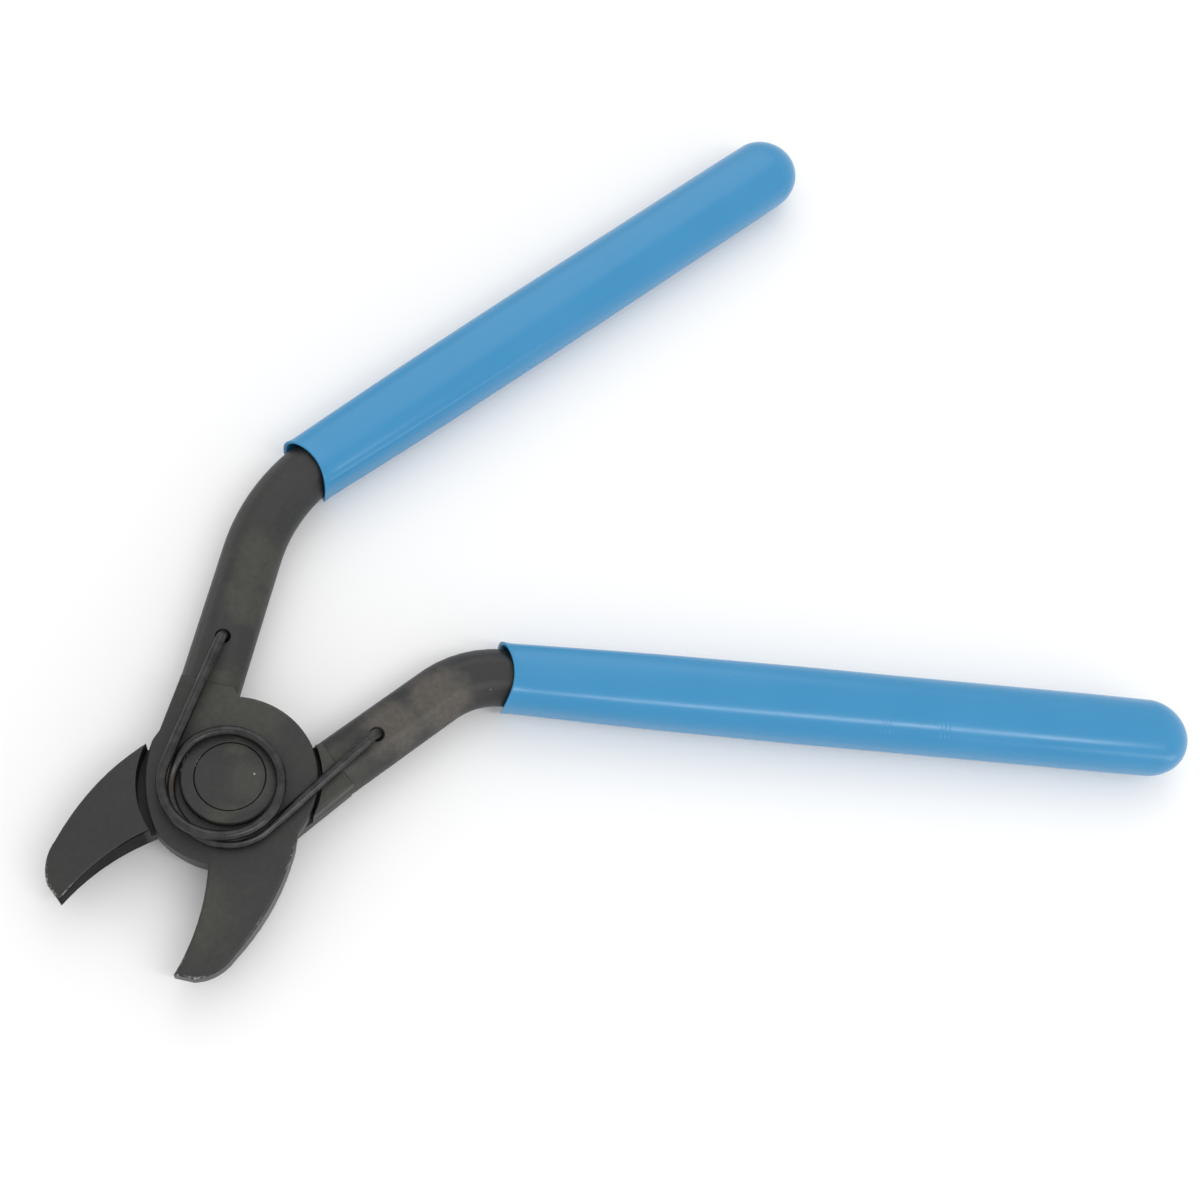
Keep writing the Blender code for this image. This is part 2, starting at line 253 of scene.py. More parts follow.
def head_stretches(lap_radius, flattened):
    """Round the head of the back half: outer edge of the jaw, tip, inner edge, lap and root."""
    low_degrees = 360 + math.degrees(math.asin(root_low / lap_radius))
    high_degrees = math.degrees(math.asin(root_high / lap_radius))
    jaw = [plan(-7.0, 15.1),
           (plan(-18.0, 14.4), plan(-31.5, 9.8)),
           (plan(-35.3, 7.1), plan(-37.0, 3.8)),
           plan(-37.0, 0.15),
           (plan(-25.5, 1.7), plan(-16.6, 0.6))]
    if flattened:
        lap = [polar(lap_radius, 178.0),
               (polar(lap_radius, 198.0), polar(lap_radius, 217.0)),
               (polar(lap_radius - 1.0 * MM, 248.0), polar(lap_radius, 283.0)),
               (polar(lap_radius, 287.0), polar(lap_radius, low_degrees))]
    else:
        lap = [polar(lap_radius, 178.0), (polar(lap_radius, 235.0), polar(lap_radius, low_degrees))]
    root = [Vector((root_length, root_low + 0.7 * MM, 0.0)),
            Vector((root_length, root_high - 1.6 * MM, 0.0)),
            Vector((math.cos(math.radians(high_degrees)) * lap_radius, root_high, 0.0)),
            (polar(lap_radius, 50.0), polar(lap_radius, 114.5))]
    return polar(lap_radius, 114.5), jaw + lap + root


def forged_head(lap_radius, flattened):
    """The flat head: its outline extruded, its rims rounded and its jaw drawn thinner."""
    bm = bmesh.new()
    face = draw_outline(bm, *head_stretches(lap_radius, flattened))
    bmesh.ops.remove_doubles(bm, verts=bm.verts, dist=0.01 * MM)
    grown = bmesh.ops.extrude_face_region(bm, geom=[face])["geom"]
    risen = [g for g in grown if isinstance(g, bmesh.types.BMVert)]
    bmesh.ops.translate(bm, verts=risen, vec=UP * (face_z - bottom_z))
    bmesh.ops.translate(bm, verts=bm.verts, vec=UP * bottom_z)
    bmesh.ops.recalc_face_normals(bm, faces=bm.faces)
    rims = [e for e in bm.edges if abs(e.verts[0].co.z - e.verts[1].co.z) < 0.01 * MM]
    bmesh.ops.bevel(bm, geom=rims, affect='EDGES', offset=rim_radius, segments=3, profile=0.5,
                    material=-1, clamp_overlap=False)
    for cut in range(taper_cuts):
        station = -(jaw_taper_start + cut * taper_step)
        bmesh.ops.bisect_plane(bm, geom=bm.verts[:] + bm.edges[:] + bm.faces[:],
                               plane_co=(station, 0, 0), plane_no=(1, 0, 0), dist=0.001 * MM)
    blend_length = (taper_cuts - 1) * taper_step
    for vert in bm.verts:
        beyond = -jaw_taper_start - vert.co.x
        if beyond > 0:
            eased = min(beyond, blend_length)
            drop = jaw_taper * (eased * eased / (2 * blend_length) + beyond - eased)
            share = (vert.co.z - mid_z) / ((face_z - bottom_z) / 2)
            vert.co.z -= drop * share
    return bm


def forged_bar(corner, bend_degrees, bend_radius, tang, side):
    """The bar: a chamfered section drawn out, bent sideways, and rounder at the handle."""
    bend = math.radians(bend_degrees)
    tangent = bend_radius * math.tan(bend / 2)
    start_x = 7.0 * MM
    bm = bmesh.new()
    half_w, half_t = bar_width / 2, bar_thickness / 2
    corners = [bm.verts.new((start_x, y, z))
               for y, z in ((-half_w, -half_t), (half_w, -half_t), (half_w, half_t), (-half_w, half_t))]
    bm.faces.new(corners)
    bmesh.ops.bevel(bm, geom=bm.verts[:], affect='VERTICES', offset=2.9 * MM, segments=1,
                    profile=0.5, material=-1)
    bmesh.ops.bevel(bm, geom=bm.verts[:], affect='VERTICES', offset=1.4 * MM, segments=4,
                    profile=0.5, material=-1)
    end = bm.faces[:][0]
    total = (corner - tangent - start_x) + bend_radius * bend + (tang - tangent)
    steps = 90
    for step in range(steps):
        grown = bmesh.ops.extrude_face_region(bm, geom=[end])["geom"]
        if step:
            bmesh.ops.delete(bm, geom=[end], context='FACES_ONLY')
        end = next(g for g in grown if isinstance(g, bmesh.types.BMFace))
        bmesh.ops.translate(bm, verts=end.verts, vec=(total / steps, 0, 0))
    for vert in bm.verts:
        along = vert.co.x - start_x
        rounding = 0.55 * ease(along, 25 * MM, 62 * MM)
        across = Vector((0.0, vert.co.y, vert.co.z))
        angle = math.atan2(across.z / half_t, across.y / half_w)
        oval = Vector((0.0, half_w * math.cos(angle), half_t * math.sin(angle))) * 1.02
        across = across.lerp(oval, rounding)
        bent = min(max(along - (corner - tangent - start_x), 0.0), bend_radius * bend)
        turned = Matrix.Rotation(-bent / bend_radius, 3, 'Z')
        centre = Vector((corner - tangent, -bend_radius, 0.0))
        straight_x = start_x + min(along, corner - tangent - start_x)
        beyond = max(along - (corner - tangent - start_x) - bend_radius * bend, 0.0)
        point = Vector((straight_x, across.y, across.z))
        if bent > 0:
            point = centre + turned @ (point - centre)
            point += turned @ Vector((beyond, 0.0, 0.0))
        vert.co = point + Vector((0.0, side * bar_offset, mid_z))
    bmesh.ops.recalc_face_normals(bm, faces=bm.faces)
    return bm


def turned_solid(profile, steps):
    """A closed solid turned from a profile of (radius, height) that starts and ends on the axis."""
    bm = bmesh.new()
    corners = [bm.verts.new((radius, 0.0, height)) for radius, height in profile]
    edges = [bm.edges.new(pair) for pair in zip(corners, corners[1:])]
    bmesh.ops.spin(bm, geom=corners + edges, cent=ORIGIN, axis=UP, dvec=ORIGIN,
                   angle=math.tau, steps=steps, use_merge=True, use_duplicate=False)
    bmesh.ops.remove_doubles(bm, verts=bm.verts, dist=0.002 * MM)
    bmesh.ops.recalc_face_normals(bm, faces=bm.faces)
    return bm


def to_object(name, bm):
    """A bmesh made an object at the origin."""
    mesh = bpy.data.meshes.new(name)
    bm.to_mesh(mesh)
    bm.free()
    made = bpy.data.objects.new(name, mesh)
    bpy.context.scene.collection.objects.link(made)
    return made


def joined(name, blank, additions, cutters):
    """A blank with others welded on and cut away, as one new object."""
    for operation, others in (('UNION', additions), ('DIFFERENCE', cutters)):
        for other in others:
            modifier = blank.modifiers.new(other.name, 'BOOLEAN')
            modifier.operation = operation
            modifier.object = other
    bpy.context.view_layer.update()
    mesh = bpy.data.meshes.new_from_object(
        blank.evaluated_get(bpy.context.evaluated_depsgraph_get()))
    mesh.name = name
    for used in [blank] + additions + cutters:
        bpy.data.objects.remove(used, do_unlink=True)
    made = bpy.data.objects.new(name, mesh)
    bpy.context.scene.collection.objects.link(made)
    return made


def shade(piece, degrees):
    """Smooth shading with hard edges past an angle, flat faces kept flat."""
    piece.data.shade_smooth()
    piece.data.set_sharp_from_angle(angle=math.radians(degrees))
    weighting = piece.modifiers.new("weighted_normals", 'WEIGHTED_NORMAL')
    weighting.keep_sharp = True


def drilled_hole(name, place):
    """The cutter of a drilled hole with a broken edge on the upper face."""
    bm = turned_solid([(0.0, bottom_z - 2 * MM), (spring_hole_radius, bottom_z - 2 * MM),
                       (spring_hole_radius, face_z - 0.7 * MM), (spring_hole_radius + 0.5 * MM, face_z),
                       (spring_hole_radius + 0.5 * MM, face_z + 2 * MM), (0.0, face_z + 2 * MM)], 40)
    bmesh.ops.translate(bm, verts=bm.verts, vec=place)
    return to_object(name, bm)


def forged_half(name, head, bar, lap_floor, lap_roof, hole_place):
    """One half: head and bar as one forging, milled for the lap and drilled."""
    rivet_bore = rivet_radius + fit_gap
    lap_cutter = to_object(name + "_lap_cutter", turned_solid(
        [(0.0, lap_floor), (shoulder_radius, lap_floor), (shoulder_radius, lap_roof), (0.0, lap_roof)], 180))
    bore_cutter = to_object(name + "_bore_cutter", turned_solid(
        [(0.0, bottom_z - 5 * MM), (rivet_bore, bottom_z - 5 * MM),
         (rivet_bore, face_z + 5 * MM), (0.0, face_z + 5 * MM)], 96))
    hole_cutter = drilled_hole(name + "_hole_cutter", hole_place)
    half = joined(name, to_object(name + "_head", head), [to_object(name + "_bar", bar)],
                  [lap_cutter, bore_cutter, hole_cutter])
    shade(half, 32)
    return half


def blend_colours(tree, factor, first, second):
    """A colour that goes from one to another with a factor; each may be a value or a link."""
    mix = add_node(tree, 'ShaderNodeMix', {0: factor, 6: first, 7: second}, data_type='RGBA')
    return mix.outputs[2]


def near(tree, place, centre, inner, outer, ragged):
    """1 inside a radius round a point, falling to 0 at an outer one, with a ragged edge."""
    wander = add_node(tree, 'ShaderNodeTexNoise', {"Vector": place, "Scale": 260.0, "Detail": 4.0})
    distance = add_node(tree, 'ShaderNodeVectorMath', {0: place, 1: centre}, operation='DISTANCE')
    shifted = add_node(tree, 'ShaderNodeMath', {
        0: wander.outputs["Fac"], 1: ragged, 2: distance.outputs["Value"]}, operation='MULTIPLY_ADD')
    inside = add_node(tree, 'ShaderNodeMapRange', {
        "Value": shifted.outputs[0], "From Min": inner + ragged / 2, "From Max": outer + ragged / 2,
        "To Min": 1.0, "To Max": 0.0}, interpolation_type='SMOOTHSTEP')
    return inside.outputs["Result"]


def any_near(tree, place, spots, ragged):
    """1 near any of several spots, each a centre with an inner and an outer radius."""
    covered = None
    for centre, inner, outer in spots:
        inside = near(tree, place, centre, inner, outer, ragged)
        covered = inside if covered is None else add_node(
            tree, 'ShaderNodeMath', {0: covered, 1: inside}, operation='MAXIMUM').outputs[0]
    return covered


def oxide_finish(name, patches, worn_places, shaded_jaw_wall=False):
    """Hot-blackened steel: uneven oxide, tinted patches, rims rubbed bright at worn places."""
    finish, tree, shader = new_finish(name)
    place = add_node(tree, 'ShaderNodeTexCoord', {}).outputs["Object"]
    clouds = add_node(tree, 'ShaderNodeTexNoise', {
        "Vector": place, "Scale": 70.0, "Detail": 4.0, "Roughness": 0.6})
    cloudy = add_node(tree, 'ShaderNodeMapRange', {
        "Value": clouds.outputs["Fac"], "From Min": 0.42, "From Max": 0.6})
    grain = add_node(tree, 'ShaderNodeTexNoise', {
        "Vector": place, "Scale": 900.0, "Detail": 6.0, "Roughness": 0.65})
    colour = blend_colours(tree, cloudy.outputs["Result"],
                           (0.0135, 0.0137, 0.0142, 1.0), (0.0170, 0.0168, 0.0155, 1.0))
    for centre, inner, outer, tint in patches:
        inside = near(tree, place, centre, inner, outer, 7 * MM)
        colour = blend_colours(tree, inside, colour, tint)
    speckle = add_node(tree, 'ShaderNodeMapRange', {
        "Value": grain.outputs["Fac"], "From Min": 0.3, "From Max": 0.7, "To Min": 0.75, "To Max": 1.25})
    colour = add_node(tree, 'ShaderNodeVectorMath', {
        0: colour, 3: speckle.outputs["Result"]}, operation='SCALE').outputs[0]

    # Rims show in the height of the normal: neither flat faces nor upright walls
    facing = add_node(tree, 'ShaderNodeSeparateXYZ', {
        0: add_node(tree, 'ShaderNodeTexCoord', {}).outputs["Normal"]})
    height = add_node(tree, 'ShaderNodeMath', {0: facing.outputs["Z"]}, operation='ABSOLUTE').outputs[0]
    off_flat = add_node(tree, 'ShaderNodeMapRange', {
        "Value": height, "From Min": 0.98, "From Max": 0.85}).outputs["Result"]
    off_wall = add_node(tree, 'ShaderNodeMapRange', {
        "Value": height, "From Min": 0.12, "From Max": 0.4}).outputs["Result"]
    rim = add_node(tree, 'ShaderNodeMath', {0: off_flat, 1: off_wall}, operation='MULTIPLY').outputs[0]
    worn = any_near(tree, place, worn_places, 4 * MM)
    flaking = add_node(tree, 'ShaderNodeTexNoise', {
        "Vector": place, "Scale": 1500.0, "Detail": 4.0, "Roughness": 0.7})
    flaked = add_node(tree, 'ShaderNodeMapRange', {
        "Value": flaking.outputs["Fac"], "From Min": 0.47, "From Max": 0.6}).outputs["Result"]
    rubbed = add_node(tree, 'ShaderNodeMath', {0: worn, 1: rim}, operation='MULTIPLY').outputs[0]
    rubbed = add_node(tree, 'ShaderNodeMath', {0: rubbed, 1: flaked}, operation='MULTIPLY').outputs[0]

    # Sparse bright specks where grit has nicked the oxide
    cells = add_node(tree, 'ShaderNodeTexVoronoi', {"Vector": place, "Scale": 230.0, "Randomness": 1.0})
    nick = add_node(tree, 'ShaderNodeMapRange', {
        "Value": cells.outputs["Distance"], "From Min": 0.07, "From Max": 0.03}).outputs["Result"]
    chosen = add_node(tree, 'ShaderNodeSeparateColor', {0: cells.outputs["Color"]}).outputs[0]
    chosen = add_node(tree, 'ShaderNodeMath', {0: chosen, 1: 0.86}, operation='GREATER_THAN').outputs[0]
    nick = add_node(tree, 'ShaderNodeMath', {0: nick, 1: chosen}, operation='MULTIPLY').outputs[0]
    bare = add_node(tree, 'ShaderNodeMath', {0: rubbed, 1: nick}, operation='MAXIMUM').outputs[0]
    bare = add_node(tree, 'ShaderNodeMath', {0: bare, 1: 0.75}, operation='MULTIPLY').outputs[0]
    colour = blend_colours(tree, bare, colour, (0.42, 0.41, 0.39, 1.0))
    if shaded_jaw_wall:
        # Painted shade: the wall that faces the other jaw is darker and duller than the rest
        inward = add_node(tree, 'ShaderNodeMapRange', {
            "Value": facing.outputs["Y"], "From Min": -0.45, "From Max": -0.8}).outputs["Result"]
        station = add_node(tree, 'ShaderNodeSeparateXYZ', {0: place}).outputs["X"]
        on_jaw = add_node(tree, 'ShaderNodeMapRange', {
            "Value": station, "From Min": -16.5 * MM, "From Max": -18.5 * MM}).outputs["Result"]
        painted_shade = add_node(tree, 'ShaderNodeMath', {0: inward, 1: on_jaw}, operation='MULTIPLY').outputs[0]
        colour = blend_colours(tree, painted_shade, colour, (0.004, 0.004, 0.004, 1.0))
        shine = add_node(tree, 'ShaderNodeMapRange', {"Value": painted_shade, "To Min": 0.5, "To Max": 0.04})
        tree.links.new(shine.outputs["Result"], shader.inputs["Specular IOR Level"])
    tree.links.new(colour, shader.inputs["Base Color"])

    gloss = add_node(tree, 'ShaderNodeMapRange', {
        "Value": clouds.outputs["Fac"], "From Min": 0.3, "From Max": 0.7, "To Min": 0.4, "To Max": 0.54})
    tree.links.new(gloss.outputs["Result"], shader.inputs["Roughness"])
    relief = add_node(tree, 'ShaderNodeBump', {
        "Height": grain.outputs["Fac"], "Strength": 0.25, "Distance": 0.08 * MM})
    forging = add_node(tree, 'ShaderNodeTexNoise', {"Vector": place, "Scale": 160.0, "Detail": 2.0})
    relief = add_node(tree, 'ShaderNodeBump', {
        "Height": forging.outputs["Fac"], "Strength": 0.35, "Distance": 0.35 * MM,
        "Normal": relief.outputs["Normal"]})
    tree.links.new(relief.outputs["Normal"], shader.inputs["Normal"])
    return finish


olive = (0.030, 0.030, 0.0225, 1.0)
tan = (0.062, 0.055, 0.046, 1.0)
# The back finish paints shade onto its jaw wall that faces the other jaw
back_finish = oxide_finish(
    "black_oxide_back",
    [(plan(42, -11) + UP * face_z, 4 * MM, 9 * MM, tan),
     (plan(31, -10) + UP * face_z, 3 * MM, 8 * MM, tan),
     (plan(16, -11) + UP * face_z, 4 * MM, 9 * MM, olive)],
    [(plan(-37, 3) + UP * (face_z - 3 * MM), 2.5 * MM, 6 * MM)], shaded_jaw_wall=True)
front_finish = oxide_finish(
    "black_oxide_front",
    [(plan(31, 34) + UP * face_z, 3 * MM, 8 * MM, olive),
     (plan(24, 28) + UP * face_z, 3 * MM, 7 * MM, olive),
     (plan(9, 10) + UP * face_z, 6 * MM, 12 * MM, olive),
     (plan(-20, -17) + UP * face_z, 3 * MM, 10 * MM, olive)],
    [(plan(-1, -17.5) + UP * face_z, 1 * MM, 4 * MM), (plan(-14, -22.5) + UP * face_z, 1 * MM, 5 * MM),
     (plan(-27, -25) + UP * (face_z - 2 * MM), 1 * MM, 5 * MM)])

back_half = forged_half(
    "black_back_half", forged_head(back_lap_radius, flattened=False),
    forged_bar(back_corner, back_bend, back_bend_radius,
               back_mouth + back_sleeve_length - tang_clearance, side=-1),
    mid_z - lap_gap / 2, face_z + 20 * MM, Vector((spring_hole.x, -spring_hole.y, 0.0)))
front_head = forged_head(front_lap_radius, flattened=True)
bmesh.ops.scale(front_head, verts=front_head.verts, vec=(1, -1, 1))
bmesh.ops.reverse_faces(front_head, faces=front_head.faces)
front_half = forged_half(
    "black_front_half", front_head,
    forged_bar(front_corner, front_bend, front_bend_radius,
               front_mouth + front_sleeve_length - tang_clearance, side=1),
    bottom_z - 20 * MM, mid_z + lap_gap / 2, spring_hole)
front_half.data.transform(Matrix.Rotation(open_angle, 4, 'Z'))
for half, finish, body, node in ((back_half, back_finish, "back", "back_half"),
                                 (front_half, front_finish, "front", "front_half")):
    half.data.materials.clear()
    half.data.materials.append(finish)
    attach(half, body)
    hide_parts(node)

# ------------------------------------------------------------------ Rivet and collar
# A headed rivet of blackened steel, turned and then pressed flush with the collar, and
# the collar itself, a turned ring with a well rounded edge that the coil lies round.

rivet_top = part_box("pivot_rivet")[1].z
rivet_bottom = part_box("pivot_rivet")[0].z
rivet_head_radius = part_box("pivot_rivet")[1].x
collar_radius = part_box("spring_collar")[1].x
collar_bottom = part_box("spring_collar")[0].z


def rounded(centre_radius, centre_height, radius, start, end, steps=6):
    """Points of a rounded edge in a turned profile, between two angles in degrees."""
    return [(centre_radius + radius * math.cos(math.radians(start + (end - start) * i / steps)),
             centre_height + radius * math.sin(math.radians(start + (end - start) * i / steps)))
            for i in range(steps + 1)]


def turned_piece(name, profile, finish, body, node):
    """A turned piece of the joint that stands for its plain one."""
    piece = to_object(name, turned_solid(profile, 144))
    piece.data.materials.append(finish)
    shade(piece, 40)
    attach(piece, body)
    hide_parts(node)
    return piece


hub_finish = oxide_finish(
    "black_oxide_hub",
    [(plan(2, -3) + UP * rivet_top, 2 * MM, 6 * MM, (0.030, 0.029, 0.024, 1.0)),
     (plan(-6, -5) + UP * rivet_top, 1 * MM, 4 * MM, olive),
     (plan(4, 4) + UP * rivet_top, 1 * MM, 3 * MM, olive)],
    [(plan(-4.5, 7.6) + UP * rivet_top, 1.2 * MM, 3.2 * MM)])
crown = 0.12 * MM
rivet_end = [(0.0, rivet_top), (3.0 * MM, rivet_top - crown / 4)]
rivet_end += rounded(rivet_radius - 0.25 * MM, rivet_top - crown - 0.25 * MM, 0.25 * MM, 90, 0)
rivet_head = rounded(rivet_head_radius - 0.5 * MM, rivet_bottom + 1.2 * MM, 0.5 * MM, 90, 0)
rivet_head += rounded(rivet_head_radius - 0.7 * MM, rivet_bottom + 0.7 * MM, 0.7 * MM, 0, -90)
turned_piece("black_rivet", rivet_end + [(rivet_radius, rivet_bottom + 1.7 * MM)] + rivet_head
             + [(0.0, rivet_bottom)], hub_finish, "back", "pivot_rivet")

collar_bore = rivet_radius + 0.1 * MM
collar_profile = rounded(collar_bore + 0.15 * MM, rivet_top - crown - 0.15 * MM, 0.15 * MM, 180, 90)
collar_profile += rounded(collar_radius - 0.55 * MM, rivet_top - crown - 0.55 * MM, 0.55 * MM, 90, 0, 10)
collar_profile += [(collar_radius, collar_bottom), (collar_bore, collar_bottom)]
bm = bmesh.new()
corners = [bm.verts.new((radius, 0.0, height)) for radius, height in collar_profile]
edges = [bm.edges.new(pair) for pair in zip(corners, corners[1:] + corners[:1])]
bmesh.ops.spin(bm, geom=corners + edges, cent=ORIGIN, axis=UP, dvec=ORIGIN,
               angle=math.tau, steps=144, use_merge=True, use_duplicate=False)
bmesh.ops.recalc_face_normals(bm, faces=bm.faces)
collar = to_object("black_collar", bm)
collar.data.materials.append(hub_finish)
shade(collar, 40)
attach(collar, "back")
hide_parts("spring_collar")

# ------------------------------------------------------------------ Return spring
# One length of 2 mm oil-tempered wire, wound 1.4 turns round the collar. Its two ends
# are bent down into the drilled holes of the halves, and it pushes the tool open.

wire_radius = 1.0 * MM
coil_centre = plan(-1.6, -0.9)
coil_radius, coil_end_radius = 10.2 * MM, 11.7 * MM
coil_start, coil_end = 130.0, 634.0
hook_radius = 1.7 * MM
hook_depth = 3.0 * MM


def coil_point(degrees):
    """A point of the coil: high where it leaves the front leg, low at the back one."""
    spread = (1 - ease(degrees, coil_start, coil_start + 107)
              + ease(degrees, coil_end - 94, coil_end))
    on_lap = face_z + wire_radius + 0.3 * MM
    over_collar = rivet_top + wire_radius + 0.3 * MM
    over_itself = on_lap + 2 * wire_radius + 0.6 * MM
    height = over_itself + (over_collar - over_itself) * ease(degrees, 245.0, 330.0)
    height += (on_lap - over_collar) * ease(degrees, 445.0, 500.0)
    return coil_centre + polar(coil_radius + (coil_end_radius - coil_radius) * spread, degrees) + UP * height


def spring_leg(start, hole, height):
    """A straight leg from the coil, and the hook at its end that turns down into a hole."""
    along = (hole - start)
    along.z = 0.0
    along.normalize()
    bend_start = hole - along * hook_radius + UP * height
    points = [start.lerp(bend_start, step / 8) for step in range(1, 9)]
    for step in range(1, 9):
        turn = math.radians(90.0) * step / 8
        points.append(bend_start + along * hook_radius * math.sin(turn)
                      - UP * hook_radius * (1 - math.cos(turn)))
    return points + [points[-1] - UP * hook_depth]


turns = 168
coil = [coil_point(coil_start + (coil_end - coil_start) * i / turns) for i in range(turns + 1)]
front_leg = spring_leg(coil[0], Matrix.Rotation(open_angle, 3, 'Z') @ spring_hole,
                       face_z + wire_radius + 0.3 * MM)
back_leg = spring_leg(coil[-1], Vector((spring_hole.x, -spring_hole.y, 0.0)), coil[-1].z)
route = list(reversed(front_leg)) + coil + back_leg

wire = bpy.data.curves.new("spring_wire", 'CURVE')
wire.dimensions = '3D'
wire.bevel_depth = wire_radius
wire.bevel_resolution = 6
wire.use_fill_caps = True
strand = wire.splines.new('POLY')
strand.points.add(len(route) - 1)
for point, where in zip(strand.points, route):
    point.co = (*where, 1.0)
drawn = bpy.data.objects.new("spring_wire", wire)
bpy.context.scene.collection.objects.link(drawn)
bpy.context.view_layer.update()
spring_mesh = bpy.data.meshes.new_from_object(drawn.evaluated_get(bpy.context.evaluated_depsgraph_get()))
bpy.data.objects.remove(drawn, do_unlink=True)
bm = bmesh.new()
bm.from_mesh(spring_mesh)
bmesh.ops.remove_doubles(bm, verts=bm.verts, dist=0.005 * MM)
bmesh.ops.recalc_face_normals(bm, faces=bm.faces)
spring = to_object("oil_tempered_spring", bm)

spring_finish, tree, shader = new_finish("oil_tempered_wire")
place = add_node(tree, 'ShaderNodeTexCoord', {}).outputs["Object"]
scale = add_node(tree, 'ShaderNodeTexNoise', {"Vector": place, "Scale": 500.0, "Detail": 4.0})
tone = add_node(tree, 'ShaderNodeMapRange', {
    "Value": scale.outputs["Fac"], "From Min": 0.35, "From Max": 0.65})
rust = near(tree, place, plan(-9, 5) + UP * face_z, 1.5 * MM, 4 * MM, 3 * MM)
colour = blend_colours(tree, tone.outputs["Result"], (0.036, 0.036, 0.038, 1.0), (0.058, 0.057, 0.056, 1.0))
colour = blend_colours(tree, rust, colour, (0.07, 0.048, 0.04, 1.0))
tree.links.new(colour, shader.inputs["Base Color"])
tree.links.new(add_node(tree, 'ShaderNodeMapRange', {
    "Value": scale.outputs["Fac"], "From Min": 0.3, "From Max": 0.7, "To Min": 0.24, "To Max": 0.36}
    ).outputs["Result"], shader.inputs["Roughness"])
shader.inputs["Metallic"].default_value = 0.9
drawn_lines = add_node(tree, 'ShaderNodeTexNoise', {"Vector": place, "Scale": 1800.0, "Detail": 3.0})
relief = add_node(tree, 'ShaderNodeBump', {
    "Height": drawn_lines.outputs["Fac"], "Strength": 0.15, "Distance": 0.03 * MM})
tree.links.new(relief.outputs["Normal"], shader.inputs["Normal"])
spring.data.materials.append(spring_finish)
spring.data.shade_smooth()
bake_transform(spring)
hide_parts("return_spring")

# ------------------------------------------------------------------ Handle sleeves
# Each handle wears a sleeve of soft blue PVC, dipped to a blunt closed end and slipped
# on over the bar. Its mouth is rolled to a thin lip, and the bar inside squares it up.

sleeve_bore = 6.8 * MM
sleeve_flatness = 0.82
end_radius, end_length = 8.5 * MM, 9.0 * MM
end_wall = 4.0 * MM


def squared(co, length):
    """The scale that turns a round section into one with flat top and sides."""
    power = 3.0 - 0.6 * ease(co.z, 0.0, 0.7 * length)
    power -= (power - 2.0) * ease(co.z, length - 1.6 * end_length, length)
    angle = math.atan2(co.y, co.x)
    return (abs(math.cos(angle)) ** power + abs(math.sin(angle)) ** power) ** (-1 / power)


def sleeve(name, corner, side, bend_degrees, mouth, length, slant):
    """A sleeve turned along its axis, squared, its mouth drawn out at the sides, on its bar."""
    profile = [(0.0, length)]
    for step in range(1, 17):
        angle = math.radians(90 - 90 * step / 16)
        profile.append((end_radius * math.cos(angle), length - end_length * (1 - math.sin(angle))))
    profile += [(8.46 * MM, 128 * MM), (8.4 * MM, 115 * MM), (8.28 * MM, 88 * MM), (8.12 * MM, 60 * MM),
                (7.75 * MM, 32 * MM), (7.5 * MM, 20 * MM), (7.2 * MM, 9 * MM), (7.03 * MM, 4.0 * MM),
                (6.98 * MM, 2.2 * MM), (7.05 * MM, 1.2 * MM)]
    profile += rounded(6.85 * MM, 0.5 * MM, 0.3 * MM, 30, -90, 6)
    bore_end = length - end_wall
    profile += rounded(6.72 * MM, 0.5 * MM, 0.3 * MM, 270, 190, 5)
    profile += [(6.4 * MM, 1.6 * MM), (sleeve_bore, 12 * MM), (sleeve_bore, bore_end - 2.0 * MM),
                (sleeve_bore - 1.2 * MM, bore_end), (0.0, bore_end)]
    bm = turned_solid(profile, 128)
    for vert in bm.verts:
        if math.hypot(vert.co.x, vert.co.y) > 0.1 * MM:
            factor = squared(vert.co, length)
            vert.co.x *= factor
            vert.co.y *= factor
        sideways = vert.co.y / sleeve_bore
        reach = 1.2 + 2.0 * sideways * sideways - slant * sideways
        vert.co.z -= reach * MM * (1 - ease(vert.co.z, 0.0, 14 * MM))
    along = polar(1.0, -bend_degrees)
    start = Vector((corner, side * bar_offset, mid_z)) + along * mouth
    axes = Matrix((UP * sleeve_flatness, along.cross(UP), along)).transposed()
    bmesh.ops.transform(bm, matrix=Matrix.Translation(start) @ axes.to_4x4(), verts=bm.verts)
    bmesh.ops.recalc_face_normals(bm, faces=bm.faces)
    made = to_object(name, bm)
    made.data.shade_smooth()
    made.data.set_sharp_from_angle(angle=math.radians(60))
    return made


vinyl_finish, tree, shader = new_finish("blue_pvc")
place = add_node(tree, 'ShaderNodeTexCoord', {}).outputs["Object"]
haze = add_node(tree, 'ShaderNodeTexNoise', {"Vector": place, "Scale": 60.0, "Detail": 3.0})
hazy = add_node(tree, 'ShaderNodeMapRange', {
    "Value": haze.outputs["Fac"], "From Min": 0.15, "From Max": 0.85})
colour = blend_colours(tree, hazy.outputs["Result"], (0.024, 0.226, 0.450, 1.0), (0.031, 0.242, 0.472, 1.0))
tree.links.new(colour, shader.inputs["Base Color"])
tree.links.new(add_node(tree, 'ShaderNodeMapRange', {
    "Value": haze.outputs["Fac"], "From Min": 0.1, "From Max": 0.9, "To Min": 0.19, "To Max": 0.31}
    ).outputs["Result"], shader.inputs["Roughness"])
dip = add_node(tree, 'ShaderNodeTexNoise', {"Vector": place, "Scale": 130.0, "Detail": 3.0})
relief = add_node(tree, 'ShaderNodeBump', {
    "Height": dip.outputs["Fac"], "Strength": 0.18, "Distance": 0.25 * MM})
skin = add_node(tree, 'ShaderNodeTexNoise', {"Vector": place, "Scale": 1400.0, "Detail": 3.0})
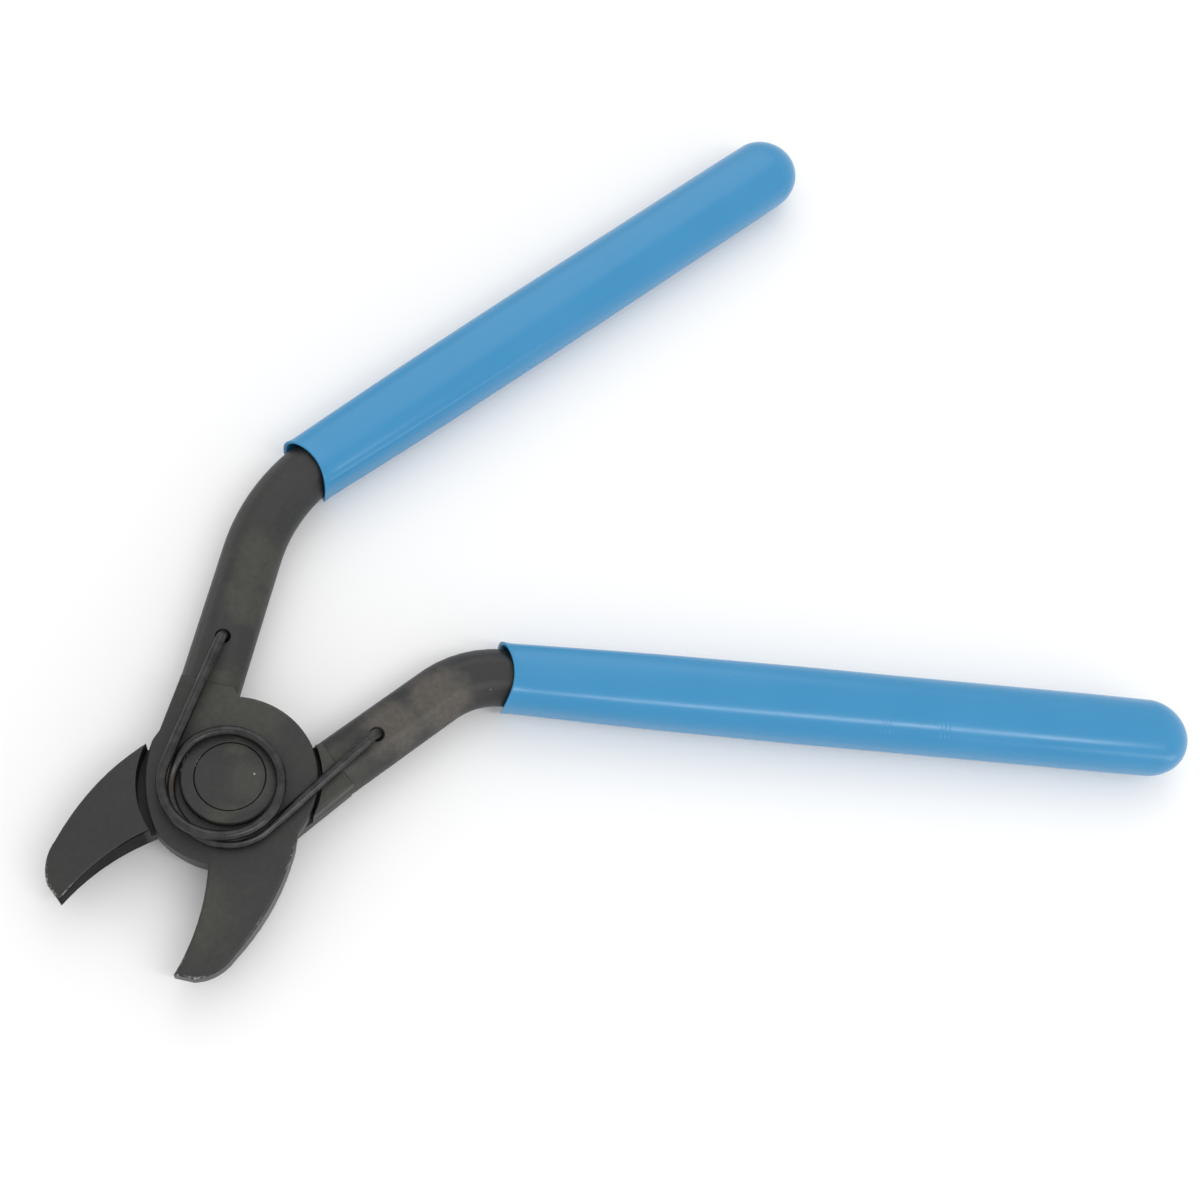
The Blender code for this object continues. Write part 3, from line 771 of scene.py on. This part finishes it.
relief = add_node(tree, 'ShaderNodeBump', {
    "Height": skin.outputs["Fac"], "Strength": 0.12, "Distance": 0.04 * MM,
    "Normal": relief.outputs["Normal"]})

# Two faint combs of short ribs, pressed into the top of the back grip
grip_along = polar(1.0, -back_bend)
along_grip = add_node(tree, 'ShaderNodeVectorMath', {0: place, 1: grip_along}, operation='DOT_PRODUCT')
ribs = add_node(tree, 'ShaderNodeMath', {0: along_grip.outputs["Value"], 1: math.tau / (0.95 * MM)},
                operation='MULTIPLY')
ribs = add_node(tree, 'ShaderNodeMath', {0: ribs.outputs[0]}, operation='SINE').outputs[0]
marked = None
for comb in (plan(113.9, -71.9), plan(123.4, -80.9)):
    offset = add_node(tree, 'ShaderNodeVectorMath', {0: place, 1: comb + UP * face_z}, operation='SUBTRACT')
    on_comb = None
    for axis, reach in ((grip_along, 1.3), (grip_along.cross(UP), 1.9)):
        part = add_node(tree, 'ShaderNodeVectorMath', {
            0: offset.outputs[0], 1: axis}, operation='DOT_PRODUCT')
        part = add_node(tree, 'ShaderNodeMath', {0: part.outputs["Value"]}, operation='ABSOLUTE')
        inside = add_node(tree, 'ShaderNodeMapRange', {
            "Value": part.outputs[0], "From Min": (reach + 0.2) * MM, "From Max": (reach - 0.2) * MM})
        on_comb = inside.outputs["Result"] if on_comb is None else add_node(
            tree, 'ShaderNodeMath', {0: on_comb, 1: inside.outputs["Result"]},
            operation='MULTIPLY').outputs[0]
    marked = on_comb if marked is None else add_node(
        tree, 'ShaderNodeMath', {0: marked, 1: on_comb}, operation='MAXIMUM').outputs[0]
ribs = add_node(tree, 'ShaderNodeMath', {0: ribs, 1: marked}, operation='MULTIPLY')
relief = add_node(tree, 'ShaderNodeBump', {
    "Height": ribs.outputs[0], "Strength": 0.35, "Distance": 0.06 * MM, "Normal": relief.outputs["Normal"]})
tree.links.new(relief.outputs["Normal"], shader.inputs["Normal"])

back_sleeve = sleeve("blue_back_sleeve", back_corner, -1, back_bend, back_mouth,
                     back_sleeve_length, slant=0.7)
front_sleeve = sleeve("blue_front_sleeve", front_corner, 1, front_bend, front_mouth,
                      front_sleeve_length, slant=0.0)
front_sleeve.data.transform(Matrix.Rotation(open_angle, 4, 'Z'))
for piece, body, node in ((back_sleeve, "back", "back_sleeve"), (front_sleeve, "front", "front_sleeve")):
    piece.data.materials.append(vinyl_finish)
    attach(piece, body)
    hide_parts(node)
